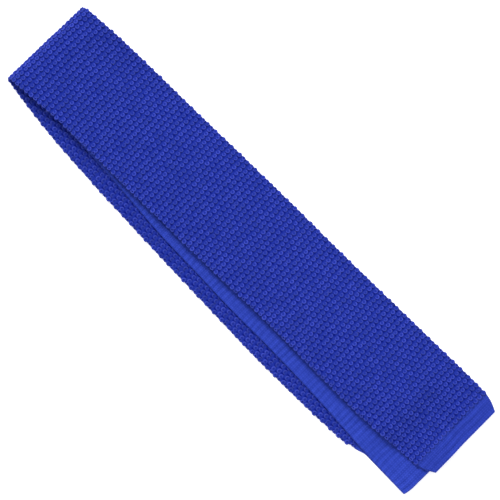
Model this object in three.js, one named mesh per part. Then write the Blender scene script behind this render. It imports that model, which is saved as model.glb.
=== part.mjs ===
// A knit tie folded in four and laid flat. The wide blade of crunchy knit is the top layer, goes round
// the outer fold and comes back as the bottom layer. The smooth neck band carries on from its narrow
// end, folds over and lies on the bottom layer, and the tail lies hidden between it and the top layer.
// X runs from the outer fold to the hems, Y across the tie and Z up from the surface it lies on.

import * as THREE from "three";

// Driving dimensions, in millimetres and degrees

const foldedLength = 367; // outer fold to the end of the blade's hem
const bladeWidth = 64;
const bladeTaperedWidth = 39; // where the blade ends and the neck band starts
const bladeHemLength = 12;
const bladeHemEndWidth = 54; // the hem's corners are drawn in
const neckWidth = 32;
const tailStartWidth = 33;
const tailWidth = 39;
const tailHemLength = 11;
const tailHemEndWidth = 34;

const bladeUnderLength = 319; // outer fold to where the bottom layer turns into the neck band
const neckLead = 44; // the neck band's run from there to its fold
const innerFoldInset = 13; // how far the hidden fold lies inside the outer one
const neckRunOn = 15; // the neck band's run from the hidden fold to the tail
const tailLength = 293;

const knitThickness = 2.8; // crunchy knit, a flattened tube
const fineThickness = 1.6; // fine knit of neck band and hems
const edgeRound = 2.2; // strip along each edge where the knit thins out
const edgeThinning = 0.45; // share of the thickness left at the edge itself

const rowPitch = 3.5; // one row of knit
const scallopDepth = 1.4; // the edge swings out and in, once every two rows

const layerGap = 0.5; // between layers that lie on each other
const joinGap = 0.32; // between pieces that meet end to end

const foldLean = 1.6; // degrees that the outer fold leans off square
const leanReach = 60; // how far from the fold the rows still lean
const foldSpring = 0.16; // slope at which the top layer comes down behind the springy fold
const fallSlope = 0.5; // steepest slope of a layer beside what it lies on
const fallRound = 10; // distance over which that slope sets in
const settleRound = 3; // depth over which a falling layer eases onto what is below

const hemStep = 4; // distance between sections of a hem
const bandStep = 9; // distance between sections of the hidden and the smooth knit
const foldParts = 8; // steps round a fold
const bladeParts = 6; // faces across the blade between its thinned edges
const bandParts = 5; // the same for the narrower pieces

// Where each layer lies, chosen by hand. along is a share of the layer's own length from its lower X,
// centre a share of bladeWidth towards +Y from the middle of the outer fold, and width the share of the
// way from the layer's first width to its second.

const topCourse = [
  { along: 0.0, centre: 0.004, width: 1.025 },
  { along: 0.11, centre: 0.04, width: 1.012 },
  { along: 0.25, centre: 0.046, width: 1.016 },
  { along: 0.49, centre: 0.06, width: 1.02 },
  { along: 0.61, centre: 0.066, width: 1.004 },
  { along: 0.83, centre: 0.066, width: 1.028 },
  { along: 0.93, centre: 0.084, width: 1.004 },
  { along: 1.0, centre: 0.094, width: 0.965 },
];

const bottomCourse = [
  { along: 0.0, centre: -0.024, width: 0.0 },
  { along: 0.08, centre: -0.11, width: 0.1 },
  { along: 0.18, centre: -0.184, width: 0.2 },
  { along: 0.38, centre: -0.286, width: 0.43 },
  { along: 0.6, centre: -0.372, width: 0.65 },
  { along: 0.77, centre: -0.43, width: 0.83 },
  { along: 0.98, centre: -0.436, width: 0.97 },
  { along: 1.0, centre: -0.434, width: 1.18 },
];

const neckUnderCourse = [
  { along: 0.0, centre: -0.434 },
  { along: 0.4, centre: -0.442 },
  { along: 1.0, centre: -0.452 },
];

const neckOverCourse = [
  { along: 0.0, centre: -0.194 },
  { along: 0.14, centre: -0.228 },
  { along: 0.25, centre: -0.266 },
  { along: 0.35, centre: -0.312 },
  { along: 0.45, centre: -0.33 },
  { along: 0.53, centre: -0.348 },
  { along: 0.64, centre: -0.354 },
  { along: 0.76, centre: -0.376 },
  { along: 0.88, centre: -0.42 },
  { along: 1.0, centre: -0.452 },
];

const tailCourse = [
  { along: 0.0, centre: -0.194, width: 0 },
  { along: 0.27, centre: -0.148, width: 0.35 },
  { along: 0.58, centre: -0.1, width: 0.7 },
  { along: 1.0, centre: -0.068, width: 1 },
];

// Colours of the two knits

const knitColour = new THREE.Color(0.045, 0.06, 0.42);
const fineColour = new THREE.Color(0.05, 0.085, 0.5);

// Smooth curves through the tables

function smoothStep(share) {
  const s = Math.min(Math.max(share, 0), 1);
  return s * s * (3 - 2 * s);
}

// The value of one column at a share of the length, on a cubic curve through the rows
function readCourse(course, column, along) {
  const last = course.length - 1;
  let i = 0;
  while (i < last - 1 && along > course[i + 1].along) i += 1;
  const slopeAt = (k) => {
    const a = course[Math.max(k - 1, 0)];
    const b = course[Math.min(k + 1, last)];
    return (b[column] - a[column]) / (b.along - a.along);
  };
  const from = course[i];
  const to = course[i + 1];
  const span = to.along - from.along;
  const t = Math.min(Math.max((along - from.along) / span, 0), 1);
  const rise = slopeAt(i) * span * (t ** 3 - 2 * t ** 2 + t) + slopeAt(i + 1) * span * (t ** 3 - t ** 2);
  return from[column] + (to[column] - from[column]) * smoothStep(t) + rise;
}

// The larger of two heights, eased where they are close, as stiff cloth bridges a corner
function settle(a, b) {
  const ease = Math.max(settleRound - Math.abs(a - b), 0);
  return Math.max(a, b) + ease ** 2 / (4 * settleRound);
}

// A layer: one straight run of the tie, with its place, its width and the layers beneath it

class Layer {
  constructor({ course, from, to, widths, thickness, beneath = [], spring = null }) {
    Object.assign(this, { course, from, to, widths, thickness, beneath, spring });
  }

  along(x) {
    return (x - this.from) / (this.to - this.from);
  }

  centre(x) {
    return bladeWidth * readCourse(this.course, "centre", this.along(x));
  }

  width(x) {
    const [first, second] = this.widths;
    if (first === second) return first;
    return THREE.MathUtils.lerp(first, second, readCourse(this.course, "width", this.along(x)));
  }

  // Height of the layer's underside. It lies on every layer beneath it, or on the ground.
  underside(x, y) {
    if (this.beneath.length === 0) return 0;
    const heights = this.beneath.map((layer) => layer.heightOver(x, y));
    if (this.spring) heights.push(this.spring(x));
    return heights.reduce(settle, 0);
  }

  // Height at which a layer above passes a point that may lie beside this one
  heightOver(x, y) {
    const nearX = Math.min(Math.max(x, this.from), this.to);
    const half = this.width(nearX) / 2;
    const nearY = Math.min(Math.max(y, this.centre(nearX) - half), this.centre(nearX) + half);
    const aside = Math.hypot(x - nearX, y - nearY);
    const fall = fallSlope * (Math.hypot(aside, fallRound) - fallRound);
    return this.underside(nearX, nearY) + this.thickness + layerGap - fall;
  }
}

const neckFold = bladeUnderLength + neckLead;
const tailStart = innerFoldInset + neckRunOn;
const tailEnd = tailStart + tailLength;

const bladeUnder = new Layer({
  course: bottomCourse,
  from: 0,
  to: bladeUnderLength,
  widths: [bladeWidth, bladeTaperedWidth],
  thickness: knitThickness,
});
const neckUnder = new Layer({
  course: neckUnderCourse,
  from: bladeUnderLength,
  to: neckFold,
  widths: [neckWidth, neckWidth],
  thickness: fineThickness,
});
const neckOver = new Layer({
  course: neckOverCourse,
  from: innerFoldInset,
  to: neckFold,
  widths: [neckWidth, neckWidth],
  thickness: fineThickness,
  beneath: [bladeUnder, neckUnder],
});
const tailLayer = new Layer({
  course: tailCourse,
  from: innerFoldInset,
  to: tailEnd,
  widths: [tailStartWidth, tailWidth],
  thickness: knitThickness,
  beneath: [neckOver, bladeUnder],
});

// The outer fold holds the top layer up to the height of the whole stack
const stackHeight = 2 * knitThickness + fineThickness + 3 * layerGap;
const bladeOver = new Layer({
  course: topCourse,
  from: 0,
  to: foldedLength,
  widths: [0, bladeWidth],
  thickness: knitThickness,
  beneath: [tailLayer, neckOver, neckUnder, bladeUnder],
  spring: (x) => stackHeight - foldSpring * Math.max(0, x - 2 * stackHeight),
});

// Sections: each holds the middle of the cloth as a function of y, with its centre, width and thickness.
// near is half the distance between the points across a section. A point is as high as the cloth is
// within that distance of it, so that the flat faces between the points clear what lies beneath.

function clearUnderside(layer, x, y, near) {
  return Math.max(...[y - near, y, y + near].map((sideways) => layer.underside(x, sideways)));
}

function sectionOf(layer, x, thickness, row) {
  return {
    centre: layer.centre(x),
    width: layer.width(x),
    thickness,
    row,
    place: (y, near) => ({ x, z: clearUnderside(layer, x, y, near) + thickness / 2 }),
  };
}

// Evenly spaced sections along a layer, from one x to another
function layerSections(layer, fromX, toX, { step, thickness = layer.thickness, row = 0 }) {
  const count = Math.max(1, Math.round(Math.abs(toX - fromX) / step));
  return Array.from({ length: count + 1 }, (_, i) =>
    sectionOf(layer, THREE.MathUtils.lerp(fromX, toX, i / count), thickness, row + i),
  );
}

// A hem's sections, whose width is drawn in towards the end with rounded corners
function hemSections(layer, fromX, toX, endWidth) {
  const sections = layerSections(layer, fromX, toX, { step: hemStep, thickness: fineThickness });
  const last = sections.length - 1;
  sections.forEach((section, i) => {
    section.width = THREE.MathUtils.lerp(section.width, endWidth, (i / last) ** 2);
  });
  return sections;
}

// How far inside its outermost point a fold leaves its two layers
function foldInset(layerA, layerB, edgeX, thickness) {
  const y = layerA.centre(edgeX);
  return (Math.abs(layerA.underside(edgeX, y) - layerB.underside(edgeX, y)) + thickness) / 2;
}

// The sections of a fold from one layer round to another at x, bulging outwards along X
function foldSectionsOf(layerA, layerB, x, outwards, { thickness, row = 0, rows = 0 }) {
  return Array.from({ length: foldParts - 1 }, (_, i) => {
    const share = (i + 1) / foldParts;
    const turn = Math.PI * share;
    const mixed = (a, b) => THREE.MathUtils.lerp(a, b, (1 - Math.cos(turn)) / 2);
    return {
      centre: mixed(layerA.centre(x), layerB.centre(x)),
      width: mixed(layerA.width(x), layerB.width(x)),
      thickness,
      row: row + rows * share,
      place: (y, near) => {
        const lowA = clearUnderside(layerA, x, y, near);
        const lowB = clearUnderside(layerB, x, y, near);
        const bulge = (Math.abs(lowA - lowB) / 2) * Math.sin(turn);
        return { x: x + outwards * bulge, z: mixed(lowA, lowB) + thickness / 2 };
      },
    };
  });
}

// Sideways lean of the rows near the outer fold
function leanOf(x, y) {
  const fade = 1 - smoothStep(x / leanReach);
  return Math.tan(THREE.MathUtils.degToRad(foldLean)) * (y - bladeWidth / 2) * fade;
}

// A closed solid from a row of sections. spans is the number of faces across it between its thinned
// edges, and scallop is how far the edges swing out and in from row to row.
function sheetGeometry(sections, { spans, scallop = 0 }) {
  const columns = spans + 3;
  const isEdge = (j) => j === 0 || j === columns - 1;
  const points = sections.map((section) => {
    const swing = (scallop / 2) * Math.cos(Math.PI * section.row);
    const half = section.width / 2;
    const near = (half - edgeRound) / spans;
    return Array.from({ length: columns }, (_, j) => {
      const across = isEdge(j) ? Math.sign(j - 1) * (half + swing) : near * (2 * (j - 1) - spans);
      const y = section.centre + across;
      const { x, z } = section.place(y, near);
      return new THREE.Vector3(x + leanOf(x, y), y, z);
    });
  });
  const vertices = [];
  points.forEach((line, i) => {
    line.forEach((point, j) => {
      const before = points[Math.max(i - 1, 0)][j];
      const after = points[Math.min(i + 1, points.length - 1)][j];
      const normal = new THREE.Vector3(before.z - after.z, 0, after.x - before.x).normalize();
      const reach = (sections[i].thickness / 2) * (isEdge(j) ? edgeThinning : 1);
      for (const side of [1, -1]) vertices.push(point.clone().addScaledVector(normal, side * reach));
    });
  });
  const at = (i, j, side) => 2 * (i * columns + j) + side;
  const faces = [];
  const quad = (a, b, c, d) => faces.push(a, b, c, a, c, d);
  const lastRow = points.length - 1;
  const lastColumn = columns - 1;
  for (let i = 0; i < lastRow; i += 1) {
    for (let j = 0; j < lastColumn; j += 1) {
      quad(at(i, j, 0), at(i + 1, j, 0), at(i + 1, j + 1, 0), at(i, j + 1, 0));
      quad(at(i, j, 1), at(i, j + 1, 1), at(i + 1, j + 1, 1), at(i + 1, j, 1));
    }
    quad(at(i, 0, 1), at(i + 1, 0, 1), at(i + 1, 0, 0), at(i, 0, 0));
    quad(at(i, lastColumn, 0), at(i + 1, lastColumn, 0), at(i + 1, lastColumn, 1), at(i, lastColumn, 1));
  }
  for (let j = 0; j < lastColumn; j += 1) {
    quad(at(0, j, 0), at(0, j + 1, 0), at(0, j + 1, 1), at(0, j, 1));
    quad(at(lastRow, j, 1), at(lastRow, j + 1, 1), at(lastRow, j + 1, 0), at(lastRow, j, 0));
  }
  const geometry = new THREE.BufferGeometry().setFromPoints(vertices);
  geometry.setIndex(faces);
  geometry.computeVertexNormals();
  return geometry;
}

// The pieces, in order from the blade's hem to the tail's

const halfJoin = joinGap / 2;
const bladeHemStart = foldedLength - bladeHemLength;
const outerX = foldInset(bladeOver, bladeUnder, 0, knitThickness);
const neckX = neckFold - foldInset(neckUnder, neckOver, neckFold, fineThickness);
const innerX = innerFoldInset + foldInset(neckOver, tailLayer, innerFoldInset, fineThickness);

function bladeHemGeometry() {
  const sections = hemSections(bladeOver, bladeHemStart + halfJoin, foldedLength, bladeHemEndWidth);
  return sheetGeometry(sections, { spans: bladeParts });
}

function bladeGeometry() {
  const knit = { step: rowPitch, thickness: knitThickness };
  const over = layerSections(bladeOver, bladeHemStart - halfJoin, outerX, knit);
  const overRows = over.length - 1;
  const turnRows = 2 * Math.round((Math.PI * outerX) / rowPitch / 2);
  const turn = foldSectionsOf(bladeOver, bladeUnder, outerX, -1, {
    thickness: knitThickness,
    row: overRows,
    rows: turnRows,
  });
  const under = layerSections(bladeUnder, outerX, bladeUnderLength - halfJoin, { ...knit, row: overRows + turnRows });
  return sheetGeometry([...over, ...turn, ...under], { spans: bladeParts, scallop: scallopDepth });
}

function neckBandGeometry() {
  const fine = { step: bandStep, thickness: fineThickness };
  const under = layerSections(neckUnder, bladeUnderLength + halfJoin, neckX, fine);
  const turn = foldSectionsOf(neckUnder, neckOver, neckX, 1, fine);
  const over = layerSections(neckOver, neckX, innerX, fine);
  const hiddenTurn = foldSectionsOf(neckOver, tailLayer, innerX, -1, fine);
  const end = layerSections(tailLayer, innerX, tailStart - halfJoin, fine);
  return sheetGeometry([...under, ...turn, ...over, ...hiddenTurn, ...end], { spans: bandParts });
}

function tailGeometry() {
  const sections = layerSections(tailLayer, tailStart + halfJoin, tailEnd - tailHemLength - halfJoin, { step: bandStep });
  return sheetGeometry(sections, { spans: bandParts });
}

function tailHemGeometry() {
  const sections = hemSections(tailLayer, tailEnd - tailHemLength + halfJoin, tailEnd, tailHemEndWidth);
  return sheetGeometry(sections, { spans: bandParts });
}

const knit = { color: knitColour, roughness: 0.85, metalness: 0 };
const fineKnit = { color: fineColour, roughness: 0.75, metalness: 0 };

const tie = new THREE.Group();

function addPiece(name, geometry, finish) {
  const piece = new THREE.Mesh(geometry, new THREE.MeshStandardMaterial(finish));
  piece.name = name;
  tie.add(piece);
}

addPiece("blade", bladeGeometry(), knit);
addPiece("blade_hem", bladeHemGeometry(), fineKnit);
addPiece("neck_band", neckBandGeometry(), fineKnit);
addPiece("tail", tailGeometry(), knit);
addPiece("tail_hem", tailHemGeometry(), fineKnit);

// The origin is the middle of the footprint, on the surface that the tie lies on
const footprint = new THREE.Box3().setFromObject(tie).getCenter(new THREE.Vector3());
for (const piece of tie.children) piece.position.set(-footprint.x, -footprint.y, 0);

export default tie;
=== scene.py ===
"""A knit tie folded in four and laid flat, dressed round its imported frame.

The wide blade of crunchy knit is the top layer, goes round the outer fold and comes back as the
bottom layer. The smooth neck band carries on from its narrow end, folds over and lies on the bottom
layer, and the tail lies hidden between it and the top layer. Every layer is a closed cloth, and the
crunchy knit has a ring of yarn standing on it for each stitch, placed by Geometry Nodes.
X runs from the outer fold to the hems, Y across the tie and Z up. Sizes are in metres.
"""

import logging
import math
from collections.abc import Callable, Sequence
from dataclasses import dataclass, field
from enum import Enum
from typing import NamedTuple

import bpy
import numpy as np
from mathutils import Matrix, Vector


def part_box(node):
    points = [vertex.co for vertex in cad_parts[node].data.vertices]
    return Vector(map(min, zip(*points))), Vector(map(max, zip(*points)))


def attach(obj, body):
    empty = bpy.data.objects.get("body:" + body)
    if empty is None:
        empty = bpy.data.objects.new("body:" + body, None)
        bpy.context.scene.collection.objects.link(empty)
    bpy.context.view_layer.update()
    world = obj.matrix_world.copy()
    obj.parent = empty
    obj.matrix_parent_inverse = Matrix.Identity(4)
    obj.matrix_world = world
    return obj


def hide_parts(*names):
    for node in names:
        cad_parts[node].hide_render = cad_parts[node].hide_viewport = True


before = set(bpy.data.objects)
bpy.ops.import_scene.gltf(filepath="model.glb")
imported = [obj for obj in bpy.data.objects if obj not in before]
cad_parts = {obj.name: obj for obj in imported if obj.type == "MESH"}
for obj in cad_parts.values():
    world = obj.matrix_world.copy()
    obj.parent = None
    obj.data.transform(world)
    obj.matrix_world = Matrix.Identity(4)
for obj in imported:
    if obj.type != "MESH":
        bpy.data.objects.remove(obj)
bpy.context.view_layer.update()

BODY = "root"
LOG = logging.getLogger("knit_tie")
Array = np.ndarray
Socket = bpy.types.NodeSocket
Colour = tuple[float, float, float]


class Slot(Enum):
    """Material slots of the record, one for each cloth."""

    CRUNCHY = "crunchy_knit"
    FINE = "fine_knit"


class Face(Enum):
    """A side of the folded cloth: outside all round, or inside between the layers."""

    OUTER = 1
    INNER = -1


@dataclass(frozen=True)
class TieSizes:
    """Driving sizes of the folded tie, in metres, those of the frame and two more for the neck fold.

    neck_run_out is how far the neck band's fold is drawn out beyond its corner, over run_out_reach.
    """

    folded_length: float = 0.367
    blade_width: float = 0.064
    blade_tapered_width: float = 0.039
    blade_hem_length: float = 0.012
    blade_hem_end_width: float = 0.054
    neck_width: float = 0.032
    tail_start_width: float = 0.033
    tail_width: float = 0.039
    tail_hem_length: float = 0.011
    tail_hem_end_width: float = 0.034
    blade_under_length: float = 0.319
    neck_lead: float = 0.044
    inner_fold_inset: float = 0.013
    neck_run_on: float = 0.015
    tail_length: float = 0.293
    knit_thickness: float = 0.0028
    fine_thickness: float = 0.0016
    row_pitch: float = 0.0035
    layer_gap: float = 0.0005
    neck_run_out: float = 0.0012
    run_out_reach: float = 0.02
    fold_lean: float = math.radians(1.6)
    lean_reach: float = 0.06
    fold_spring: float = 0.16
    fall_slope: float = 0.5
    fall_round: float = 0.01
    settle_round: float = 0.003


SIZES = TieSizes()


class CourseRow(NamedTuple):
    """A row of a layer's course: a share of its length, its middle and its width there.

    centre is a share of the blade's width towards +Y, width the share of the way from the layer's
    first width to its second.
    """

    along: float
    centre: float
    width: float = 0.0


TOP_COURSE = (
    CourseRow(0.0, 0.004, 1.025),
    CourseRow(0.11, 0.04, 1.012),
    CourseRow(0.25, 0.046, 1.016),
    CourseRow(0.49, 0.06, 1.02),
    CourseRow(0.61, 0.066, 1.004),
    CourseRow(0.83, 0.066, 1.028),
    CourseRow(0.93, 0.084, 1.004),
    CourseRow(1.0, 0.094, 0.965),
)
BOTTOM_COURSE = (
    CourseRow(0.0, -0.024, 0.0),
    CourseRow(0.08, -0.11, 0.1),
    CourseRow(0.18, -0.184, 0.2),
    CourseRow(0.38, -0.286, 0.43),
    CourseRow(0.6, -0.372, 0.65),
    CourseRow(0.77, -0.43, 0.83),
    CourseRow(0.98, -0.436, 0.97),
    CourseRow(1.0, -0.434, 1.18),
)
NECK_UNDER_COURSE = (
    CourseRow(0.0, -0.434),
    CourseRow(0.4, -0.442),
    CourseRow(1.0, -0.452),
)
NECK_OVER_COURSE = (
    CourseRow(0.0, -0.194),
    CourseRow(0.14, -0.228),
    CourseRow(0.25, -0.266),
    CourseRow(0.35, -0.312),
    CourseRow(0.45, -0.33),
    CourseRow(0.53, -0.348),
    CourseRow(0.64, -0.354),
    CourseRow(0.76, -0.376),
    CourseRow(0.88, -0.42),
    CourseRow(1.0, -0.452),
)
TAIL_COURSE = (
    CourseRow(0.0, -0.194, 0.0),
    CourseRow(0.27, -0.148, 0.35),
    CourseRow(0.58, -0.1, 0.7),
    CourseRow(1.0, -0.068, 1.0),
)


def smooth_step(share: Array | float) -> Array:
    """Eases a share of a way, clamped to the way's two ends."""
    s = np.clip(share, 0.0, 1.0)
    return s * s * (3 - 2 * s)


def mix(a: Array | float, b: Array | float, share: Array | float) -> Array | float:
    """The value a share of the way from a to b."""
    return a + (b - a) * share


def read_course(course: Sequence[CourseRow], column: str, along: Array) -> Array:
    """Reads a column of a course on a cubic curve through its rows.

    Args:
        course: The rows, in order along the layer.
        column: The name of the column to read.
        along: Shares of the layer's length.

    Returns:
        The column's value at each share.
    """
    shares = np.array([row.along for row in course])
    values = np.array([getattr(row, column) for row in course])
    last = len(course) - 1
    before = np.maximum(np.arange(last + 1) - 1, 0)
    after = np.minimum(np.arange(last + 1) + 1, last)
    slopes = (values[after] - values[before]) / (shares[after] - shares[before])
    i = np.clip(np.searchsorted(shares, along) - 1, 0, last - 1)
    span = shares[i + 1] - shares[i]
    t = np.clip((along - shares[i]) / span, 0.0, 1.0)
    rise = slopes[i] * span * (t**3 - 2 * t**2 + t) + slopes[i + 1] * span * (t**3 - t**2)
    return mix(values[i], values[i + 1], smooth_step(t)) + rise


def settle(a: Array, b: Array) -> Array:
    """The larger of two heights, eased where they are close, as stiff cloth bridges a corner."""
    ease = np.maximum(SIZES.settle_round - np.abs(a - b), 0.0)
    return np.maximum(a, b) + ease**2 / (4 * SIZES.settle_round)


@dataclass
class Layer:
    """One straight run of the tie, with its place, its widths and the layers beneath it."""

    course: Sequence[CourseRow]
    start: float
    end: float
    widths: tuple[float, float]
    thickness: float
    beneath: tuple["Layer", ...] = ()
    spring: Callable[[Array], Array] | None = None
    run_out: float = 0.0

    def drawn_out(self, x: Array, y: Array) -> Array:
        """How far the cloth near the layer's end is drawn out, all but its corner towards -Y.

        Args:
            x: Places along the tie.
            y: Places across the tie.

        Returns:
            The distance along the tie at each place, run_out at most.
        """
        third = self.width(self.end) / 3
        corner = np.clip((self.centre(self.end) - y) / third - 0.5, 0.0, 1.0)
        near = smooth_step((x - self.end) / SIZES.run_out_reach + 1)
        return self.run_out * near * (1 - corner**2)

    def centre(self, x: Array) -> Array:
        """The middle of the layer across the tie, at x."""
        along = (np.asarray(x, float) - self.start) / (self.end - self.start)
        return SIZES.blade_width * read_course(self.course, "centre", along)

    def width(self, x: Array) -> Array:
        """The width of the layer at x."""
        along = (np.asarray(x, float) - self.start) / (self.end - self.start)
        return mix(*self.widths, read_course(self.course, "width", along))

    def underside(self, x: Array, y: Array) -> Array:
        """Height of the layer's underside, on every layer beneath it or on the ground.

        Args:
            x: Places along the tie.
            y: Places across the tie.

        Returns:
            The height at each place.
        """
        x, y = np.broadcast_arrays(np.asarray(x, float), np.asarray(y, float))
        height = np.zeros(x.shape)
        for layer in self.beneath:
            height = settle(height, layer.height_over(x, y))
        if self.spring is not None:
            height = settle(height, self.spring(x))
        return height

    def height_over(self, x: Array, y: Array) -> Array:
        """Height at which a layer above passes a point, which may lie beside this layer.

        Args:
            x: Places along the tie.
            y: Places across the tie.

        Returns:
            The height at each place.
        """
        near_x = np.clip(x, self.start, self.end)
        middle, half = self.centre(near_x), self.width(near_x) / 2
        near_y = np.clip(y, middle - half, middle + half)
        aside = np.hypot(x - near_x, y - near_y)
        fall = SIZES.fall_slope * (np.hypot(aside, SIZES.fall_round) - SIZES.fall_round)
        return self.underside(near_x, near_y) + self.thickness + SIZES.layer_gap - fall


@dataclass(frozen=True)
class Station:
    """A section across the cloth, on one layer or part of the way round a fold to another."""

    layer: Layer
    x: float
    onto: Layer | None = None
    turn: float = 0.0
    outwards: float = 0.0

    def blend(self, reading: Callable[[Layer], Array]) -> Array:
        """A reading of the layer, or mixed with the same reading of the layer it folds onto.

        Args:
            reading: Reads a layer.

        Returns:
            The reading here.
        """
        here = reading(self.layer)
        if self.onto is None:
            return here
        return mix(here, reading(self.onto), (1 - math.cos(self.turn)) / 2)

    @property
    def centre(self) -> float:
        """The middle of the section across the tie."""
        return float(self.blend(lambda layer: layer.centre(self.x)))

    @property
    def width(self) -> float:
        """The width of the cloth at this section."""
        return float(self.blend(lambda layer: layer.width(self.x)))

    def place(self, y: Array) -> Array:
        """Points in the middle of the cloth's thickness.

        Args:
            y: Places across the tie.

        Returns:
            One point for each place.
        """
        low = self.layer.underside(self.x, y)
        x = np.full_like(y, self.x)
        if self.onto is not None:
            x += self.outwards * np.abs(low - self.onto.underside(self.x, y)) / 2 * math.sin(self.turn)
            low = self.blend(lambda layer: layer.underside(self.x, y))
        fade = 1 - smooth_step(x / SIZES.lean_reach)
        lean = math.tan(SIZES.fold_lean) * (y - SIZES.blade_width / 2) * fade
        x = x + lean + self.layer.drawn_out(x, y)
        return np.column_stack([x, y, low + self.layer.thickness / 2])


def straight_run(layer: Layer, from_x: float, to_x: float, steps: int) -> list[Station]:
    """Evenly spaced stations on a layer, in so many steps from one x to another, both included."""
    return [Station(layer, mix(from_x, to_x, i / steps)) for i in range(steps + 1)]


def fold_run(layer: Layer, onto: Layer, x: float, outwards: float, steps: int) -> list[Station]:
    """Stations round a fold at x, without its ends. It bulges to +X if outwards is 1, -X if -1."""
    return [Station(layer, x, onto, math.pi * i / steps, outwards) for i in range(1, steps)]


def steps_for(length: float, step: float) -> int:
    """The number of steps that fit a length best, at least one."""
    return max(1, round(abs(length) / step))


def stepped_run(layer: Layer, from_x: float, to_x: float, step: float) -> list[Station]:
    """Evenly spaced stations on a layer, as nearly a step apart as fits, both ends included."""
    return straight_run(layer, from_x, to_x, steps_for(to_x - from_x, step))


class Stack:
    """The layers of the folded tie, from the ground up, and where each fold turns."""

    def __init__(self, sizes: TieSizes) -> None:
        """Works out the layers.

        Args:
            sizes: The tie's driving sizes.
        """
        neck_fold = sizes.blade_under_length + sizes.neck_lead
        self.tail_start = sizes.inner_fold_inset + sizes.neck_run_on
        self.tail_end = self.tail_start + sizes.tail_length
        taper = (sizes.blade_width, sizes.blade_tapered_width)
        neck = (sizes.neck_width, sizes.neck_width)
        tail = (sizes.tail_start_width, sizes.tail_width)
        knit, fine = sizes.knit_thickness, sizes.fine_thickness
        height = 2 * knit + fine + 3 * sizes.layer_gap

        def spring(x: Array) -> Array:
            """Height at which the outer fold holds the top layer up."""
            return height - sizes.fold_spring * np.maximum(0.0, x - 2 * height)

        run_out = sizes.neck_run_out
        lead, inset = sizes.blade_under_length, sizes.inner_fold_inset
        self.under = Layer(BOTTOM_COURSE, 0.0, lead, taper, knit)
        self.neck_under = Layer(NECK_UNDER_COURSE, lead, neck_fold, neck, fine, run_out=run_out)
        below = (self.under, self.neck_under)
        self.neck_over = Layer(NECK_OVER_COURSE, inset, neck_fold, neck, fine, below, run_out=run_out)
        below = (self.neck_over, self.under)
        self.tail = Layer(TAIL_COURSE, inset, self.tail_end, tail, knit, below)
        below = (self.tail, self.neck_over, self.neck_under, self.under)
        blade = (0.0, sizes.blade_width)
        self.over = Layer(TOP_COURSE, 0.0, sizes.folded_length, blade, knit, below, spring)
        self.outer_x = self.fold_inset(self.over, self.under, 0.0, knit)
        self.neck_x = neck_fold - self.fold_inset(self.neck_under, self.neck_over, neck_fold, fine)
        self.inner_x = inset + self.fold_inset(self.neck_over, self.tail, inset, fine)

    @staticmethod
    def fold_inset(layer: Layer, onto: Layer, edge_x: float, thickness: float) -> float:
        """How far inside its outermost point a fold leaves its two layers.

        Args:
            layer: The layer before the fold.
            onto: The layer after it.
            edge_x: Where the fold's outermost point is.
            thickness: The cloth's thickness.

        Returns:
            The distance along the tie.
        """
        y = layer.centre(edge_x)
        rise = abs(float(layer.underside(edge_x, y) - onto.underside(edge_x, y)))
        return (rise + thickness) / 2


EDGE_TURNS = np.radians([80.0, 48.0, 18.0])


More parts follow.
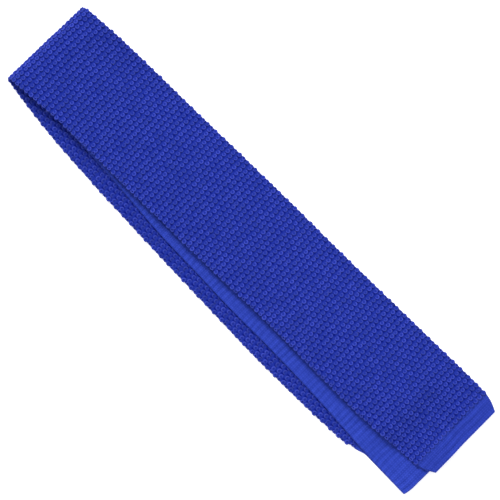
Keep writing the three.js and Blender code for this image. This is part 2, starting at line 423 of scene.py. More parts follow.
@dataclass
class Cloth:
    """A closed sheet of cloth through a row of stations.

    half_widths holds half the width at each station, and edge_round how far in from its edges the
    cloth starts to thin out. The knit's own coordinates run across and along the cloth, in units of
    cell, one size for each station, and of row. relief gives the height of the knit on each face at
    those coordinates.
    """

    stations: list[Station]
    half_widths: Array
    thickness: float
    columns: int
    edge_round: float
    cells: Array
    rows: Array
    relief: Callable[[Array, Array], Array]

    def across(self) -> tuple[Array, Array]:
        """The places of the columns across the cloth and the thickness left at each.

        Returns:
            A place for each column, as a share of the flat middle plus a share of the rounded edge,
            and the share of the thickness there.
        """
        flat = np.linspace(-1.0, 1.0, self.columns)
        rounded, left = np.sin(EDGE_TURNS), np.cos(EDGE_TURNS)
        shares = np.concatenate([-1 - rounded, flat, 1 + rounded[::-1]])
        left = np.concatenate([left, np.ones(self.columns), left[::-1]])
        return shares, left

    def offsets(self, shares: Array, i: int) -> Array:
        """Places across the tie, from the middle of station i, for the columns' shares."""
        flat = self.half_widths[i] - self.edge_round
        return np.clip(shares, -1, 1) * flat + (shares - np.clip(shares, -1, 1)) * self.edge_round

    def middle(self, i: int, y: Array) -> Array:
        """Points in the middle of the cloth's thickness at a station.

        Args:
            i: The station's number, carried on in a straight line past the ends.
            y: Places across the tie, from the station's own middle.

        Returns:
            One point for each place.
        """
        last = len(self.stations) - 1
        if i < 0:
            return 2 * self.middle(0, y) - self.middle(1, y)
        if i > last:
            return 2 * self.middle(last, y) - self.middle(last - 1, y)
        return self.stations[i].place(self.stations[i].centre + y)

    def surface(self, i: int, y: Array) -> tuple[Array, Array, Array]:
        """Points in the middle of the cloth, with its directions there.

        Args:
            i: The station's number.
            y: Places across the tie, from the station's own middle.

        Returns:
            The points, the direction along the cloth and the direction out of its outer face.
        """
        probe = 0.0004
        along = self.middle(i + 1, y) - self.middle(i - 1, y)
        across = self.middle(i, y + probe) - self.middle(i, y - probe)
        facing = np.cross(across, along)
        return self.middle(i, y), unit(along), unit(facing)

    def mesh(self, name: str, offset: Array) -> bpy.types.Mesh:
        """Builds the closed sheet, with its place along and across the knit as a UV map.

        Args:
            name: The mesh's name.
            offset: What is added to every point.

        Returns:
            The mesh.
        """
        shares, left = self.across()
        sides, places = [], []
        for i in range(len(self.stations)):
            y = self.offsets(shares, i)
            points, _, facing = self.surface(i, y)
            place = np.column_stack([y / self.cells[i], np.full_like(y, self.rows[i])])
            reach = self.thickness / 2 + self.relief(place[:, 0], place[:, 1])
            reach = (reach * left)[:, None] * facing
            sides.append(np.stack([points + reach, points - reach]))
            places.append(place)
        points = np.array(sides)
        rows, columns = points.shape[0], points.shape[2]
        index = np.arange(rows * 2 * columns).reshape(rows, 2, columns)
        outer, inner = index[:, 0], index[:, 1]
        faces = [
            grid_faces(outer),
            grid_faces(inner)[:, ::-1],
            strip_faces(outer[:, 0], inner[:, 0]),
            strip_faces(outer[:, -1], inner[:, -1])[:, ::-1],
            strip_faces(inner[0], outer[0])[:, ::-1],
            strip_faces(inner[-1], outer[-1]),
        ]
        mesh = bpy.data.meshes.new(name)
        points = points.reshape(-1, 3) + offset
        mesh.from_pydata(points.tolist(), [], np.concatenate(faces).tolist())
        flat_places = np.repeat(np.array(places)[:, None], 2, axis=1).reshape(-1, 2)
        corners = np.empty(len(mesh.loops), np.int32)
        mesh.loops.foreach_get("vertex_index", corners)
        uv = mesh.uv_layers.new(name="knit")
        uv.data.foreach_set("uv", flat_places[corners].astype(np.float32).ravel())
        mesh.shade_smooth()
        mesh.validate()
        return mesh


def unit(vectors: Array) -> Array:
    """The vectors, each at a length of one."""
    return vectors / np.linalg.norm(vectors, axis=-1, keepdims=True)


def grid_faces(index: Array) -> Array:
    """Quads over a grid of vertex numbers, facing across times along."""
    quads = [index[:-1, :-1], index[:-1, 1:], index[1:, 1:], index[1:, :-1]]
    return np.stack(quads, axis=-1).reshape(-1, 4)


def strip_faces(first: Array, second: Array) -> Array:
    """Quads between two rows of vertex numbers."""
    return np.column_stack([first[:-1], first[1:], second[1:], second[:-1]])


def link(mesh: bpy.types.Mesh) -> bpy.types.Object:
    """Puts a mesh into the scene as an object at the origin with the mesh's own name."""
    piece = bpy.data.objects.new(mesh.name, mesh)
    bpy.context.scene.collection.objects.link(piece)
    return piece


# Finishes


class NodeMaker:
    """Adds nodes to a node tree, each with its inputs given by name."""

    def __init__(self, tree: bpy.types.NodeTree) -> None:
        """Keeps the tree that the nodes go into."""
        self.tree = tree

    def fill(self, node: bpy.types.Node, inputs: dict) -> None:
        """Sets a node's inputs.

        Args:
            node: The node.
            inputs: A value or an output socket for each input, by its name or number.
        """
        for key, value in inputs.items():
            if isinstance(value, Socket):
                self.tree.links.new(value, node.inputs[key])
            else:
                node.inputs[key].default_value = value

    def add(self, kind: str, inputs: dict | None = None, **settings: object) -> bpy.types.Node:
        """Adds a node.

        Args:
            kind: The node's type.
            inputs: A value or an output socket for each input, by its name or number.
            settings: The node's own properties.

        Returns:
            The node.
        """
        node = self.tree.nodes.new(kind)
        for key, value in settings.items():
            setattr(node, key, value)
        self.fill(node, inputs or {})
        return node

    def maths(self, operation: str, *values: object) -> Socket:
        """The result of a Math node, with a number or an output socket for each input."""
        kind = "ShaderNodeMath"
        return self.add(kind, dict(enumerate(values)), operation=operation).outputs[0]


def new_material(name: str) -> tuple[bpy.types.Material, NodeMaker, bpy.types.Node]:
    """Makes a material with a Principled shader.

    Args:
        name: The material's name.

    Returns:
        The material, the maker for its nodes and the shader's node.
    """
    material = bpy.data.materials.new(name)
    material.use_nodes = True
    shader = material.node_tree.nodes["Principled BSDF"]
    return material, NodeMaker(material.node_tree), shader


@dataclass(frozen=True)
class Finish:
    """A matt finish of knitted yarn: two tones, a fine relief and a soft sheen."""

    name: str
    dark: Colour
    light: Colour
    roughness: float = 0.72
    specular: float = 0.2
    sheen: float = 0.12
    sheen_roughness: float = 0.45
    sheen_tint: Colour = (0.45, 0.55, 1.0)
    depth: float = 0.00012
    strength: float = 0.8
    noise_scale: float = 1400.0

    def noise(self, make: NodeMaker, **settings: float) -> Socket:
        """Adds noise over the piece's own coordinates.

        Args:
            make: The maker of nodes.
            settings: More inputs of the noise, by name.

        Returns:
            The socket that holds it.
        """
        place = make.add("ShaderNodeTexCoord").outputs["Object"]
        inputs = {"Vector": place, "Scale": self.noise_scale, **settings}
        return make.add("ShaderNodeTexNoise", inputs).outputs["Fac"]

    def pattern(self, make: NodeMaker) -> tuple[Socket, Socket]:
        """Adds the nodes for the share of the light tone and for the relief's height, and gives both."""
        raise NotImplementedError

    def material(self) -> bpy.types.Material:
        """Builds the material.

        Returns:
            The material.
        """
        material, make, shader = new_material(self.name)
        share, height = self.pattern(make)
        tones = {0: share, 6: (*self.dark, 1.0), 7: (*self.light, 1.0)}
        relief = {"Height": height, "Distance": self.depth, "Strength": self.strength}
        inputs = {
            "Base Color": make.add("ShaderNodeMix", tones, data_type="RGBA").outputs[2],
            "Normal": make.add("ShaderNodeBump", relief).outputs["Normal"],
            "Roughness": self.roughness,
            "Specular IOR Level": self.specular,
            "Sheen Weight": self.sheen,
            "Sheen Roughness": self.sheen_roughness,
            "Sheen Tint": (*self.sheen_tint, 1.0),
        }
        make.fill(shader, inputs)
        return material


@dataclass(frozen=True)
class YarnFinish(Finish):
    """Twisted yarn, in two tones that each ring lies between."""

    tone_share: float = 0.7

    def pattern(self, make: NodeMaker) -> tuple[Socket, Socket]:
        """Mixes each ring's own tone with the fibres, which are the relief too.

        Args:
            make: The maker of nodes.

        Returns:
            The sockets of the share and of the height.
        """
        tone = make.add("ShaderNodeAttribute", attribute_name="tone").outputs["Fac"]
        fibres = self.noise(make, Detail=3.0, Roughness=0.6)
        own = make.maths("MULTIPLY", tone, self.tone_share)
        return make.maths("ADD", own, make.maths("MULTIPLY", fibres, 1 - self.tone_share)), fibres


HOLE_SHIFT = 0.2


def holes(across: Array, row: Array) -> Array:
    """1 in the middle of a hole of the crunchy knit, at places in rings and rows, and -1 between."""
    return np.cos(2 * np.pi * across) * np.cos(np.pi * (row + HOLE_SHIFT))


def knit_place(make: NodeMaker) -> bpy.types.bpy_prop_collection:
    """The sockets X and Y of a place across and along the knit."""
    uv = make.add("ShaderNodeUVMap", uv_map="knit").outputs["UV"]
    return make.add("ShaderNodeSeparateXYZ", {"Vector": uv}).outputs


@dataclass(frozen=True)
class GroundFinish(Finish):
    """The cloth between the rings: dark in the holes, which is painted shade, and light elsewhere."""

    roughness: float = 0.9
    specular: float = 0.05
    sheen: float = 0.0
    depth: float = 0.0001
    strength: float = 1.0
    hole_shade_from: float = 0.95
    hole_shade_to: float = -0.1

    def pattern(self, make: NodeMaker) -> tuple[Socket, Socket]:
        """Does in nodes what holes does for a mesh, as painted shade in the holes, over the relief of
        the fibres.

        Args:
            make: The maker of nodes.

        Returns:
            The sockets of the share and of the height.
        """
        place = knit_place(make)
        across = make.maths("COSINE", make.maths("MULTIPLY", place["X"], 2 * math.pi))
        row = make.maths("MULTIPLY", make.maths("ADD", place["Y"], HOLE_SHIFT), math.pi)
        hole = make.maths("MULTIPLY", across, make.maths("COSINE", row))
        # Painted shade: the holes' value maps to the dark tone in each hole and the light tone between.
        limits = {"From Min": self.hole_shade_from, "From Max": self.hole_shade_to}
        share = make.add("ShaderNodeMapRange", {"Value": hole, **limits}).outputs[0]
        return share, self.noise(make)


@dataclass(frozen=True)
class FineKnitFinish(Finish):
    """Close, smooth knit: columns of small slanted stitches and faint ribs, along the knit's map.

    The map counts stitches across the cloth and ribs along it.
    """

    roughness: float = 0.68
    sheen_tint: Colour = (0.45, 0.6, 1.0)
    depth: float = 0.0004
    strength: float = 0.7
    noise_scale: float = 260.0
    rows_in_rib: float = 3.0
    slant: float = 2.4
    stitch_share: float = 0.45
    patch_share: float = 0.5
    # Painted shade: how much more of the noise tone the rib crests get than the valleys.
    rib_shade_share: float = 0.4

    def pattern(self, make: NodeMaker) -> tuple[Socket, Socket]:
        """Lays slanted stitches in columns and a noise tone that is stronger on the rib crests, leaving
        painted shade in the valleys between the ribs.

        Args:
            make: The maker of nodes.

        Returns:
            The sockets of the share and of the height.
        """
        place = knit_place(make)
        ridge = make.maths("ABSOLUTE", make.maths("SINE", make.maths("MULTIPLY", place["X"], math.pi)))
        ribs = make.maths("MULTIPLY", place["Y"], 2 * math.pi)
        rows = make.maths("MULTIPLY", ribs, self.rows_in_rib)
        slanted = make.maths("ADD", rows, make.maths("MULTIPLY", ridge, self.slant))
        stitch = make.maths("MULTIPLY_ADD", make.maths("SINE", slanted), 0.5, 0.5)
        height = make.maths("MULTIPLY", stitch, ridge)
        # Painted shade in the rib valleys: the noise tone is weaker there than on the crests.
        crest = make.maths("MULTIPLY_ADD", make.maths("COSINE", ribs), 0.5, 0.5)
        weight = make.maths("MULTIPLY_ADD", crest, self.rib_shade_share, self.patch_share)
        patches_and_rib_shade = make.maths("MULTIPLY", self.noise(make, Detail=4.0), weight)
        share = make.maths("ADD", make.maths("MULTIPLY", height, self.stitch_share), patches_and_rib_shade)
        return share, height


# The rings of yarn


@dataclass(frozen=True)
class RingSizes:
    """Sizes of the ring of yarn that stands for one stitch of the crunchy knit.

    length and width are those of the yarn's middle line. The end towards the blade's hem is lifted by
    rise and drawn in by taper, and the ring is pushed that way by shift; the other end is lowered and
    widened by as much.
    """

    length: float = 0.00205
    width: float = 0.0021
    yarn_radius: float = 0.00056
    dip: float = 0.0001
    rise: float = 0.0003
    shift: float = 0.00012
    taper: float = 0.06
    steps: int = 10
    sides: int = 4
    size_spread: float = 0.08
    turn_spread: float = math.radians(20)

    @property
    def half_width(self) -> float:
        """Half the ring's outer width."""
        return self.width / 2 + self.yarn_radius


@dataclass
class RingField:
    """Geometry Nodes that set a ring of yarn on each vertex of a guide mesh."""

    sizes: RingSizes
    material: bpy.types.Material
    tree: bpy.types.NodeTree = field(init=False)
    sockets: dict[str, str] = field(init=False, default_factory=dict)

    def __post_init__(self) -> None:
        """Builds the node tree once, for every guide mesh."""
        self.tree = bpy.data.node_groups.new("knit_rings", "GeometryNodeTree")
        interface = self.tree.interface
        interface.new_socket("Guide", in_out="INPUT", socket_type="NodeSocketGeometry")
        interface.new_socket("Knit", in_out="OUTPUT", socket_type="NodeSocketGeometry")
        for name, (kind, _) in self.inputs(0).items():
            socket = interface.new_socket(name, in_out="INPUT", socket_type=f"NodeSocket{kind}")
            self.sockets[name] = socket.identifier
        self.build()

    def inputs(self, seed: int) -> dict[str, tuple[str, object]]:
        """The tree's named inputs.

        Args:
            seed: The seed of the rings' small differences.

        Returns:
            The kind and the value of each.
        """
        sizes = self.sizes
        return {
            "Ring Length": ("Float", sizes.length),
            "Ring Width": ("Float", sizes.width),
            "Yarn Radius": ("Float", sizes.yarn_radius),
            "Dip": ("Float", sizes.dip),
            "Rise": ("Float", sizes.rise),
            "Shift": ("Float", sizes.shift),
            "Taper": ("Float", sizes.taper),
            "Steps": ("Int", sizes.steps),
            "Sides": ("Int", sizes.sides),
            "Size Spread": ("Float", sizes.size_spread),
            "Turn Spread": ("Float", sizes.turn_spread),
            "Seed": ("Int", seed),
            "Yarn": ("Material", self.material),
        }

    def build(self) -> None:
        """Adds the nodes: one ring, its place and turn on each vertex, and the finish."""
        make = NodeMaker(self.tree)
        given = make.add("NodeGroupInput").outputs
        kind = "GeometryNodeInputNamedAttribute"
        facing, along, scale = (
            make.add(kind, {"Name": name}, data_type="FLOAT_VECTOR").outputs["Attribute"]
            for name in ("facing", "along", "cell")
        )
        turn = make.add(
            "FunctionNodeAxesToRotation",
            {"Primary Axis": facing, "Secondary Axis": along},
            primary_axis="Z",
            secondary_axis="X",
        ).outputs["Rotation"]
        spread = given["Turn Spread"]
        twist = self.random(make, given, make.maths("MULTIPLY", spread, -1.0), spread, 0)
        own_turn = make.add("ShaderNodeCombineXYZ", {"Z": twist}).outputs[0]
        to_rotation = make.add("FunctionNodeEulerToRotation", {0: own_turn}).outputs[0]
        turns = {"Rotation": turn, "Rotate By": to_rotation}
        turned = make.add("FunctionNodeRotateRotation", turns, rotation_space="LOCAL").outputs[0]
        low = make.maths("SUBTRACT", 1.0, given["Size Spread"])
        high = make.maths("ADD", 1.0, given["Size Spread"])
        sizes = {0: scale, "Scale": self.random(make, given, low, high, 1)}
        scaled = make.add("ShaderNodeVectorMath", sizes, operation="SCALE").outputs[0]
        ring = self.ring(make, given)
        places = {"Points": given["Guide"], "Instance": ring, "Rotation": turned, "Scale": scaled}
        placed = make.add("GeometryNodeInstanceOnPoints", places).outputs["Instances"]
        toned = make.add(
            "GeometryNodeStoreNamedAttribute",
            {"Geometry": placed, "Name": "tone", "Value": self.random(make, given, 0.0, 1.0, 2)},
            data_type="FLOAT",
            domain="INSTANCE",
        ).outputs[0]
        real = make.add("GeometryNodeRealizeInstances", {"Geometry": toned}).outputs[0]
        finish = {"Geometry": real, "Material": given["Yarn"]}
        make.add("NodeGroupOutput", {"Knit": make.add("GeometryNodeSetMaterial", finish).outputs[0]})

    @staticmethod
    def ring(make: NodeMaker, given: bpy.types.bpy_prop_collection) -> Socket:
        """Adds the nodes of one ring: an oval curve, tilted and dipped at its two ends, with round yarn.

        Args:
            make: The maker of nodes.
            given: The tree's input sockets.

        Returns:
            The socket that holds the ring's mesh.
        """
        circle = "GeometryNodeCurvePrimitiveCircle"
        path = make.add(circle, {"Resolution": given["Steps"], "Radius": 1.0}).outputs["Curve"]
        place = make.add("ShaderNodeSeparateXYZ", {0: make.add("GeometryNodeInputPosition").outputs[0]})
        x, y = place.outputs["X"], place.outputs["Y"]
        drop = make.maths("MULTIPLY_ADD", x, given["Dip"], given["Rise"])
        half_length = make.maths("MULTIPLY", given["Ring Length"], 0.5)
        half_width = make.maths("MULTIPLY", given["Ring Width"], 0.5)
        narrowed = make.maths("MULTIPLY", y, make.maths("MULTIPLY_ADD", x, given["Taper"], 1.0))
        points = {
            "X": make.maths("SUBTRACT", make.maths("MULTIPLY", x, half_length), given["Shift"]),
            "Y": make.maths("MULTIPLY", narrowed, half_width),
            "Z": make.maths("MULTIPLY", make.maths("MULTIPLY", x, drop), -1.0),
        }
        bent = make.add("ShaderNodeCombineXYZ", points).outputs[0]
        oval = make.add("GeometryNodeSetPosition", {"Geometry": path, "Position": bent}).outputs[0]
        section = {"Resolution": given["Sides"], "Radius": given["Yarn Radius"]}
        yarn = make.add(circle, section).outputs["Curve"]
        tube = make.add("GeometryNodeCurveToMesh", {"Curve": oval, "Profile Curve": yarn}).outputs[0]
        return make.add("GeometryNodeSetShadeSmooth", {"Geometry": tube}).outputs[0]

    @staticmethod
    def random(
        make: NodeMaker,
        given: bpy.types.bpy_prop_collection,
        low: object,
        high: object,
        draw: int,
    ) -> Socket:
        """A random number for each ring, from low to high, in a series told apart by its draw."""
        inputs = {2: low, 3: high, "Seed": make.maths("ADD", given["Seed"], float(draw))}
        return make.add("FunctionNodeRandomValue", inputs, data_type="FLOAT").outputs[1]

    def grow(self, name: str, guide: bpy.types.Mesh, seed: int) -> bpy.types.Object:
        """Sets the rings on a guide mesh and turns the result into a plain mesh.

        Args:
            name: The name of the finished piece.
            guide: The mesh whose vertices hold the rings' places.
            seed: The seed of their small differences.

        Returns:
            The finished piece.
        """
        holder = link(guide)
        modifier = holder.modifiers.new("knit_rings", "NODES")
        modifier.node_group = self.tree
        for key, (_, value) in self.inputs(seed).items():
            modifier[self.sockets[key]] = value
        graph = bpy.context.evaluated_depsgraph_get()
        mesh = bpy.data.meshes.new_from_object(holder.evaluated_get(graph))
        mesh.name = name
        bpy.data.objects.remove(holder)
        bpy.data.meshes.remove(guide)
        return link(mesh)


# The pieces


@dataclass(frozen=True)
class Wave:
    """A slow ripple over a knit, in radians for each cell across it and each row along it."""

    across: float
    along: float
    start: float = 0.0

    def at(self, across: Array, row: Array | float) -> Array:
        """The ripple at places in cells and rows, from -1 to 1."""
        return np.sin(self.across * across + self.along * row + self.start)


SLOW_DRIFT = (Wave(0.37, 0.11), Wave(-0.17, 0.23, 1.3))
QUICK_DRIFT = (Wave(0.9, -0.31, 0.7), Wave(0.4, 0.53))
QUICK_SHARE = 0.7
RIB_SWAY = Wave(0.55, 0.4)
RIB_STRENGTH = Wave(0.21, 0.83)

CELL_PITCH = 0.00333
HEM_ROWS = 50
FACE_SEED, FIRST_SEED = 1000, 5000


@dataclass
class CrunchyKnit:
    """The blade: a cloth with rings of yarn, row by row, each row half a stitch beside the last."""

    stack: Stack
    ring: RingSizes
    offset: Array
    cell_pitch: float = CELL_PITCH
    edge_ring: float = 0.6
    edge_swing: float = 0.0004
    edge_reach: float = 0.0007
    ground_thickness: float = 0.0013
    ground_relief: float = 0.0003
    ring_height: float = 0.00055
    ground_inset: float = 0.0005
    shift_spread: float = 0.0002
    wander: float = 0.0002
    stations: list[Station] = field(init=False)
    counts: list[int] = field(init=False)
    pitches: list[float] = field(init=False)
    reaches: list[float] = field(init=False)
    over_rows: int = field(init=False)
    turn_rows: int = field(init=False)

    def __post_init__(self) -> None:
        """Lays out the stations, two to a row, and the number of rings in each row."""
        stack = self.stack
        over_from = SIZES.folded_length - SIZES.blade_hem_length
        under_to = SIZES.blade_under_length
        self.over_rows = steps_for(over_from - stack.outer_x, SIZES.row_pitch)
        self.turn_rows = 2 * steps_for(math.pi * stack.outer_x / 2, SIZES.row_pitch)
        under_rows = steps_for(under_to - stack.outer_x, SIZES.row_pitch)
        self.stations = [
            *straight_run(stack.over, over_from, stack.outer_x, 2 * self.over_rows),
            *fold_run(stack.over, stack.under, stack.outer_x, -1.0, 2 * self.turn_rows),
            *straight_run(stack.under, stack.outer_x, under_to, 2 * under_rows),
        ]
        self.counts, self.pitches, self.reaches = [], [], []
        for row in range(self.rows):
            width = self.stations[2 * row + 1].width
            reach = width / 2 + self.edge_reach
            even = 2 * round(width / self.cell_pitch / 2)
            self.counts.append(even - row % 2)
            self.pitches.append(2 * (reach - self.ring.half_width) / (even - 1))
            self.reaches.append(reach - self.edge_swing * (row % 2))

    @property
    def rows(self) -> int:
        """The number of rows of rings."""
        return (len(self.stations) - 1) // 2

    def places(self, row: int) -> tuple[Array, Array]:
        """Where the rings of a row stand across the cloth, from its middle, and their widths.

        Every second row has one ring fewer, and a narrow one at each edge instead.

        Args:
            row: The row's number, from the hem.

        Returns:
            The rings' places and their widths as shares of a whole ring's.
        """
        count, pitch = self.counts[row], self.pitches[row]
        y = (np.arange(count) - (count - 1) / 2) * pitch
        shares = np.full(count, pitch / self.cell_pitch)
        if row % 2:
            edge = self.reaches[row] - self.edge_ring * self.ring.half_width
            y = np.concatenate([[-edge], y, [edge]])
            shares = np.concatenate([[self.edge_ring], shares, [self.edge_ring]])
        return y, shares

    def drift(self, y: Array, row: int) -> Array:
        """How far rings stray along the cloth together with their neighbours.

        Args:
            y: Places across the cloth.
            row: The row's number.

        Returns:
            The distance along the cloth for each place.
        """
        across = y / self.cell_pitch
        slow, quick = (
            first.at(across, row) * second.at(across, row) for first, second in (SLOW_DRIFT, QUICK_DRIFT)
        )
        return self.wander * (slow + QUICK_SHARE * quick)

    def ground(self) -> Cloth:
        """The ground cloth that the rings stand on."""
        middles = np.arange(len(self.stations)) / 2 - 0.5
        halves = np.interp(middles, np.arange(self.rows), self.reaches) - self.ground_inset
        pitches = np.interp(middles, np.arange(self.rows), self.pitches)

        def relief(across: Array, row: Array) -> Array:
            """Height of the ground: raised under the rings and sunk in the holes."""
            return -self.ground_relief * holes(across, row)

        return Cloth(
            self.stations,
            halves,
            self.ground_thickness,
            columns=77,
            edge_round=0.0008,
            cells=pitches,
            rows=middles,
            relief=relief,
        )

    def guide(
        self, name: str, cloth: Cloth, face: Face, rows: range, edge: int = 0
    ) -> bpy.types.Mesh:
        """Makes the mesh whose vertices are the rings' places.

        Args:
            name: The mesh's name.
            cloth: The ground cloth.
            face: The face that the rings stand on.
            rows: The rows to fill.
            edge: The number of rings to set along each edge only, or 0 for whole rows.

        Returns:
            The mesh, with its facing, along and cell attributes.
        """
        draw = np.random.default_rng(FACE_SEED * face.value + rows.start + FIRST_SEED)
        columns = {"place": [], "facing": [], "along": [], "cell": []}
        spread = self.shift_spread
        for row in rows:
            y, shares = self.places(row)
            y = y + draw.uniform(-spread, spread, len(y))
            if edge:
                y, shares = (np.concatenate([of[:edge], of[-edge:]]) for of in (y, shares))
            point, along, facing = cloth.surface(2 * row + 1, y)
            facing = facing * face.value
            slide = draw.uniform(-spread, spread, len(y)) + self.drift(y, row)
            place = point + facing * self.ring_height + slide[:, None] * along + self.offset
            cell = np.column_stack([np.ones_like(y), shares, np.ones_like(y)])
            for key, value in zip(columns, (place, facing, along, cell)):
                columns[key].append(value)
        joined = {key: np.concatenate(values) for key, values in columns.items()}
        mesh = bpy.data.meshes.new(name)
        mesh.from_pydata(joined.pop("place").tolist(), [], [])
        for key, values in joined.items():
            layer = mesh.attributes.new(key, "FLOAT_VECTOR", "POINT")
            layer.data.foreach_set("vector", values.astype(np.float32).ravel())
        return mesh


@dataclass(frozen=True)
class FineKnit:
    """The close, smooth knit of the neck band and the hems, with faint ribs across it."""

    stitch_pitch: float = 0.00195
    rib_pitch: float = 0.0039
    rib_height: float = 0.00055
    step: float = 0.00065
    edge_round: float = 0.0009
    sway: float = 0.12
    unevenness: float = 0.35

    def relief(self, across: Array, rib: Array) -> Array:
        """Height of the cloth, which is sunk between the ribs.

        Args:
            across: Places across the cloth, in stitches.
            rib: Places along the cloth, in ribs.

        Returns:
            The height at each place.
        """
        place = rib + self.sway * RIB_SWAY.at(across, rib)
        strength = 1 - self.unevenness + self.unevenness * RIB_STRENGTH.at(across, rib)
        return self.rib_height * strength * (np.cos(2 * np.pi * place) - 1) / 2

    def cloth(self, stations: list[Station], half_widths: Array, columns: int) -> Cloth:
        """Makes a cloth of this knit.

        Args:
            stations: The sections through the cloth, a step apart.
            half_widths: Half its width at each.
            columns: The number of points across its flat middle.

        Returns:
            The cloth.
        """
        count = len(stations)
        return Cloth(
            stations,
            half_widths,
            SIZES.fine_thickness,
            columns,
            self.edge_round,
            cells=np.full(count, self.stitch_pitch),
            rows=np.arange(count) * self.step / self.rib_pitch,
            relief=self.relief,
        )

    def hem(self, layer: Layer, start: float, end: float, end_width: float) -> Cloth:
        """A hem's cloth, whose corners are drawn in towards the end.

        Args:
            layer: The layer that it lies on.
            start: Where it starts.
            end: Where it ends.
            end_width: Its width at the end.

        Returns:
            The cloth.
        """
        steps = steps_for(end - start, self.step)
        stations = straight_run(layer, start, end, steps)
        shares = np.arange(steps + 1) / steps
        halves = np.array([station.width / 2 for station in stations])
        return self.cloth(stations, mix(halves, end_width / 2, shares**2), columns=29)


@dataclass
class Tie:
    """The whole tie: its cloths and rings, in order from the blade's hem to the tail's."""

    hem_overlap: float = 0.0009
    flare: float = 0.0024
    flare_length: float = 0.0095
    tail_relief: float = 0.0004
    fold_steps: int = 8
    fine: FineKnit = field(default_factory=FineKnit)
    stack: Stack = field(default_factory=lambda: Stack(SIZES))
    offset: Array = field(default_factory=lambda: np.zeros(3))

    def blade_hem(self) -> Cloth:
        """The blade's hem."""
        end = SIZES.folded_length
        start = end - SIZES.blade_hem_length - self.hem_overlap
        return self.fine.hem(self.stack.over, start, end, SIZES.blade_hem_end_width)

    def tail_hem(self) -> Cloth:
        """The tail's hem, out of sight."""
        end, length = self.stack.tail_end, SIZES.tail_hem_length
        return self.fine.hem(self.stack.tail, end - length, end, SIZES.tail_hem_end_width)

    def tail(self) -> Cloth:
        """The tail's crunchy knit, out of sight, whose pebbles are raised in the cloth itself."""
        stack, relief = self.stack, self.tail_relief
        end = stack.tail_end - SIZES.tail_hem_length
        stations = stepped_run(stack.tail, stack.tail_start, end, SIZES.row_pitch / 2)
        return Cloth(
            stations,
            np.array([station.width / 2 for station in stations]),
            SIZES.knit_thickness - 2 * relief,
            columns=45,
            edge_round=0.0012,
            cells=np.full(len(stations), CELL_PITCH),
            rows=np.arange(len(stations)) / 2,
            relief=lambda across, row: -relief * holes(across, row),
        )

    def neck_band(self) -> Cloth:
        """The smooth band that goes round the neck, with both its folds and a flare at its start."""
        stack, step, turns = self.stack, self.fine.step, self.fold_steps
        start, end = SIZES.blade_under_length, stack.tail_start
        lead = stepped_run(stack.neck_under, start, stack.neck_x, step)
        stations = [
            *lead,
            *fold_run(stack.neck_under, stack.neck_over, stack.neck_x, 1.0, turns),
            *stepped_run(stack.neck_over, stack.neck_x, stack.inner_x, step),
            *fold_run(stack.neck_over, stack.tail, stack.inner_x, -1.0, turns),
            *stepped_run(stack.tail, stack.inner_x, end, step),
        ]
        halves = np.array([station.width / 2 for station in stations])
        run = np.array([station.x - start for station in lead])
        halves[: len(lead)] += self.flare * (1 - smooth_step(run / self.flare_length))
        return self.fine.cloth(stations, halves, columns=17)

    def fit_to_frame(self) -> None:
        """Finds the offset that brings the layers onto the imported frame, from the blade's hem."""
        made = self.blade_hem().mesh("fitting", np.zeros(3))
        points = np.array([vertex.co for vertex in made.vertices])
        bpy.data.meshes.remove(made)
        low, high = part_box("blade_hem")
        middle = (np.array(low) + np.array(high)) / 2
        self.offset = middle - (points.min(0) + points.max(0)) / 2
        self.offset[0] = high[0] - points[:, 0].max()
        self.offset[2] = 0.0
        LOG.info("offset onto the frame: %s mm", np.round(self.offset * 1000, 3))


def add_cloth(
    node: str, cloth: Cloth, material: bpy.types.Material, slot: Slot, offset: Array
) -> bpy.types.Object:
    """Adds a cloth to the scene in place of its node of the frame.

    Args:
        node: The node that it stands for.
        cloth: The cloth.
        material: Its finish.
        slot: The record's slot for it. Not used.
        offset: What is added to every point.

    Returns:
        The piece.
    """
    piece = link(cloth.mesh(f"{node}_cloth", offset))
    piece.data.materials.append(material)
    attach(piece, BODY)
    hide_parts(node)
    report(piece)
    return piece


def report(piece: bpy.types.Object) -> None:
    """Logs a piece's name, triangles and box.

    Args:
        piece: The piece.
    """
    points = np.empty(3 * len(piece.data.vertices), np.float32)
    piece.data.vertices.foreach_get("co", points)
    points = points.reshape(-1, 3) * 1000
    low, high = points.min(0).round(1), points.max(0).round(1)
    triangles = sum(len(polygon.vertices) - 2 for polygon in piece.data.polygons)
    LOG.info("%s: %d triangles, %s to %s mm", piece.name, triangles, low, high)


# The studio


@dataclass(frozen=True)
class SoftLight:
    """A round soft light that looks at the tie."""

    name: str
    power: float
    size: float
    place: tuple[float, float, float]

    def hang(self) -> None:
        """Adds the light to the scene."""
        data = bpy.data.lights.new(self.name, "AREA")
        data.shape, data.size, data.energy = "DISK", self.size, self.power
        light = bpy.data.objects.new(self.name, data)
        light.location = self.place
        light.rotation_euler = (-Vector(self.place)).to_track_quat("-Z", "Y").to_euler()
        bpy.context.scene.collection.objects.link(light)


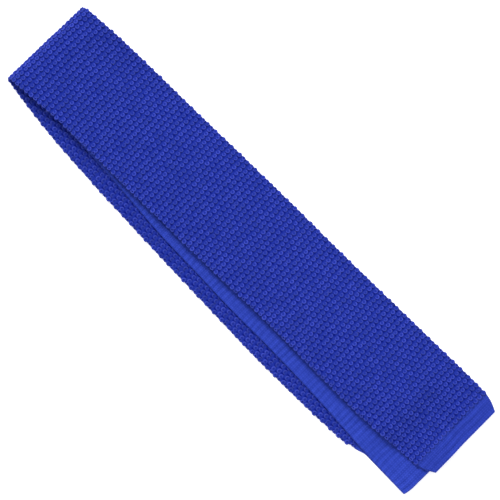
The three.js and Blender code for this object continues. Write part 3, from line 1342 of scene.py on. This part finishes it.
@dataclass(frozen=True)
class Studio:
    """Camera, light and floor, at the photograph's angle: straight down, with the tie turned."""

    look_at: tuple[float, float] = (0.0016, 0.0028)
    turn: float = math.radians(44.6)
    field_width: float = 0.316
    field_height: float = 0.01
    lens: float = 240.0
    sensor: float = 36.0
    floor_size: float = 6.0
    paper: float = 0.93
    paper_glow: float = 0.4
    sky: float = 0.65
    key: SoftLight = SoftLight("key", 185.0, 1.6, (-3.1, 1.1, 3.0))
    overhead: SoftLight = SoftLight("overhead", 0.8, 0.5, (0.4, 0.0, 0.55))

    def camera(self) -> None:
        """Sets the camera so that the field is field_width wide at the top layer's height."""
        data = bpy.data.cameras.new("camera")
        data.lens, data.sensor_width = self.lens, self.sensor
        camera = bpy.data.objects.new("camera", data)
        distance = self.field_width * self.lens / self.sensor
        camera.location = (*self.look_at, self.field_height + distance)
        camera.rotation_euler = (0.0, 0.0, self.turn)
        bpy.context.scene.collection.objects.link(camera)
        bpy.context.scene.camera = camera

    def light(self) -> None:
        """Adds an even white sky, a soft light from beyond the outer fold and one above the hem."""
        world = bpy.data.worlds.new("sky")
        world.use_nodes = True
        background = world.node_tree.nodes["Background"]
        NodeMaker(world.node_tree).fill(background, {"Color": (1.0,) * 4, "Strength": self.sky})
        bpy.context.scene.world = world
        self.key.hang()
        self.overhead.hang()
        bpy.context.scene.view_settings.view_transform = "Standard"

    def floor(self) -> None:
        """Adds the pale floor."""
        half = self.floor_size / 2
        mesh = bpy.data.meshes.new("floor")
        corners = [(-half, -half, 0.0), (half, -half, 0.0), (half, half, 0.0), (-half, half, 0.0)]
        mesh.from_pydata(corners, [], [(0, 1, 2, 3)])
        material, make, shader = new_material("floor_paper")
        paper = {"Base Color": (*(self.paper,) * 3, 1.0), "Roughness": 0.9}
        glow = {"Emission Color": (1.0,) * 4, "Emission Strength": self.paper_glow}
        make.fill(shader, paper | glow)
        floor = link(mesh)
        floor.data.materials.append(material)


def build_tie() -> None:
    """Builds every piece of the tie and rides it on the frame."""
    yarn = YarnFinish("crunchy_yarn", (0.014, 0.029, 0.26), (0.032, 0.054, 0.44)).material()
    # The ground's dark tone is painted shade in the holes between the rings.
    ground = GroundFinish("crunchy_ground", (0.001, 0.006, 0.17), (0.012, 0.026, 0.27)).material()
    fine = FineKnitFinish("fine_knit", (0.003, 0.02, 0.26), (0.025, 0.058, 0.5)).material()
    hem_tones = (0.002, 0.016, 0.23), (0.019, 0.046, 0.43)
    fine_hem = FineKnitFinish("fine_hem_knit", *hem_tones).material()

    tie = Tie()
    tie.fit_to_frame()
    ring = RingSizes()
    crunchy = CrunchyKnit(tie.stack, ring, tie.offset)
    rings = RingField(ring, yarn)
    blade_ground = crunchy.ground()
    cloths = {
        "blade": (blade_ground, ground, Slot.CRUNCHY),
        "blade_hem": (tie.blade_hem(), fine_hem, Slot.FINE),
        "neck_band": (tie.neck_band(), fine, Slot.FINE),
        "tail": (tie.tail(), ground, Slot.CRUNCHY),
        "tail_hem": (tie.tail_hem(), fine_hem, Slot.FINE),
    }
    pieces = {node: add_cloth(node, *parts, tie.offset) for node, parts in cloths.items()}

    bottom = crunchy.over_rows + crunchy.turn_rows
    fields = {
        "blade_rings_top_hem": (Face.OUTER, range(0, HEM_ROWS), 0),
        "blade_rings_top_fold": (Face.OUTER, range(HEM_ROWS, bottom), 0),
        "blade_rings_bottom": (Face.OUTER, range(bottom, crunchy.rows), 0),
        "blade_rings_inside": (Face.INNER, range(bottom, crunchy.rows), 0),
        "blade_rings_edges": (Face.INNER, range(0, crunchy.over_rows), 2),
    }
    for seed, (name, (face, rows, edge)) in enumerate(fields.items()):
        guide = crunchy.guide(f"{name}_guide", blade_ground, face, rows, edge)
        piece = rings.grow(name, guide, seed)
        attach(piece, BODY)
        report(piece)


def main() -> None:
    """Builds the studio and the tie."""
    logging.basicConfig(level=logging.INFO, format="%(name)s: %(message)s")
    studio = Studio()
    studio.camera()
    studio.light()
    studio.floor()
    build_tie()


if __name__ == "__main__":
    main()
